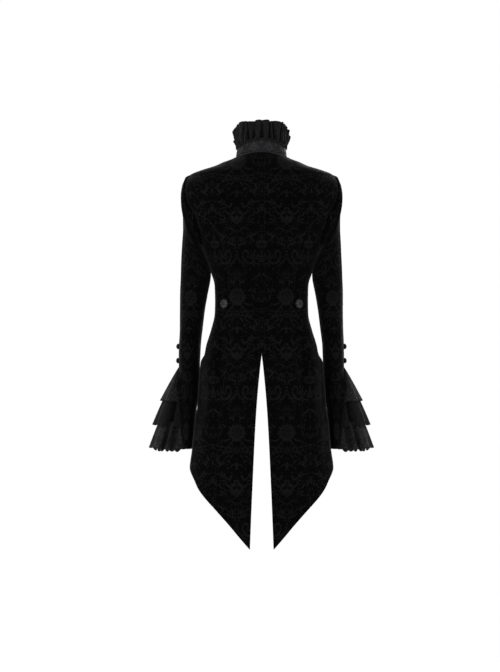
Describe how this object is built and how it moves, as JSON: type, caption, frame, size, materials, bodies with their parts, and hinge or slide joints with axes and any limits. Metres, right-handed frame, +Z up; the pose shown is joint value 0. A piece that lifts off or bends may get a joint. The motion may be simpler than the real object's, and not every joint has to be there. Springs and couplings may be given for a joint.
{
  "type": "gothic velvet coat",
  "caption": "Fitted black damask-velvet tailcoat, worn form, with ruffled stand collar, half belt, cutaway tails and ruffled cuffs.",
  "frame": {"origin": "on the centre line at the height of the neck, in the plane of the shoulder seams, where the wearer's shoulders and neck carry the coat", "axes": "+Z up along the wearer's spine, -Y the way the fronts face (the picture shows the +Y side), +X the wearer's left"},
  "size_m": [0.574, 0.2578, 1.1161],
  "materials": {
    "damask_velvet": "black velvet with a tone-on-tone damask pile",
    "ruffle_satin": "soft charcoal satin, gathered",
    "jacquard": "charcoal satin jacquard",
    "antique_silver": "embossed cast metal with a dark antique-silver plating"
  },
  "bodies": {
    "root": {"centre_back_left": "damask_velvet", "centre_back_right": "damask_velvet", "side_back_left": "damask_velvet", "side_back_right": "damask_velvet", "front_left": "damask_velvet", "front_right": "damask_velvet", "under_sleeve_left": "damask_velvet", "under_sleeve_right": "damask_velvet", "upper_sleeve_left": "damask_velvet", "upper_sleeve_right": "damask_velvet", "half_belt": "damask_velvet", "cuff_flounce_1_left": "jacquard", "cuff_flounce_1_right": "jacquard", "cuff_flounce_2_left": "ruffle_satin", "cuff_flounce_2_right": "ruffle_satin", "cuff_flounce_3_left": "jacquard", "cuff_flounce_3_right": "jacquard", "collar_band": "jacquard", "collar_binding": "ruffle_satin", "collar_frill": "ruffle_satin", "waist_button_left": "antique_silver", "waist_button_right": "antique_silver", "sleeve_button_upper_left": "antique_silver", "sleeve_button_upper_right": "antique_silver", "sleeve_button_lower_left": "antique_silver", "sleeve_button_lower_right": "antique_silver", "front_button_1": "antique_silver", "front_button_2": "antique_silver", "front_button_3": "antique_silver", "front_button_4": "antique_silver", "front_button_5": "antique_silver"}
  },
  "joints": []
}
